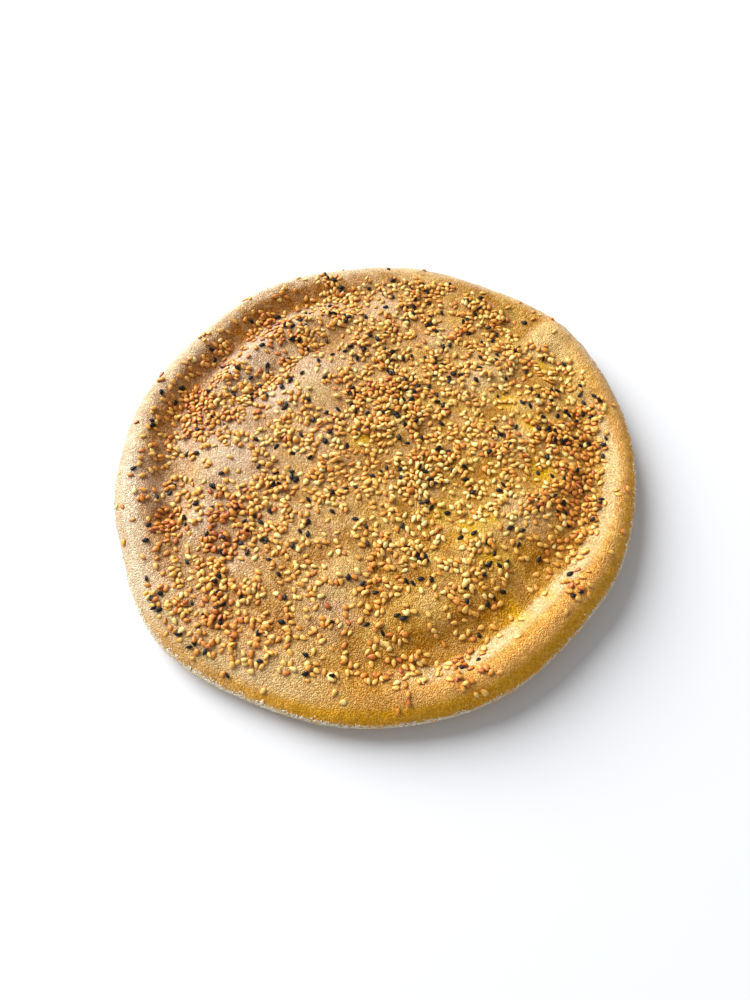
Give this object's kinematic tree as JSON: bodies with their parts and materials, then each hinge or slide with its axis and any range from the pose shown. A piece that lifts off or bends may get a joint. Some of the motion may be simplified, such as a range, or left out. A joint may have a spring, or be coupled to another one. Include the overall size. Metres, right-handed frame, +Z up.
{
  "type": "ramadan pide",
  "caption": "Round leavened flatbread with a thick soft rim, a furrow pressed inside it, finger marks over the middle, and sesame and nigella seeds baked onto the crust.",
  "frame": {"origin": "centre of the bread's box on the surface it lies on", "axes": "+Z up through the crust, +X to the right and +Y away from the viewer as in the picture"},
  "size_m": [0.2202, 0.2188, 0.0195],
  "materials": {
    "crust": "baked golden-tan crust, fine-grained, with a slight oily glisten",
    "sesame": "toasted sesame seed, smooth and slightly glossy",
    "nigella": "black nigella seed, matte with a slight sheen",
    "flour": "bran and flour grains along the bottom edge"
  },
  "bodies": {
    "root": {"pide": "crust"}
  },
  "joints": []
}
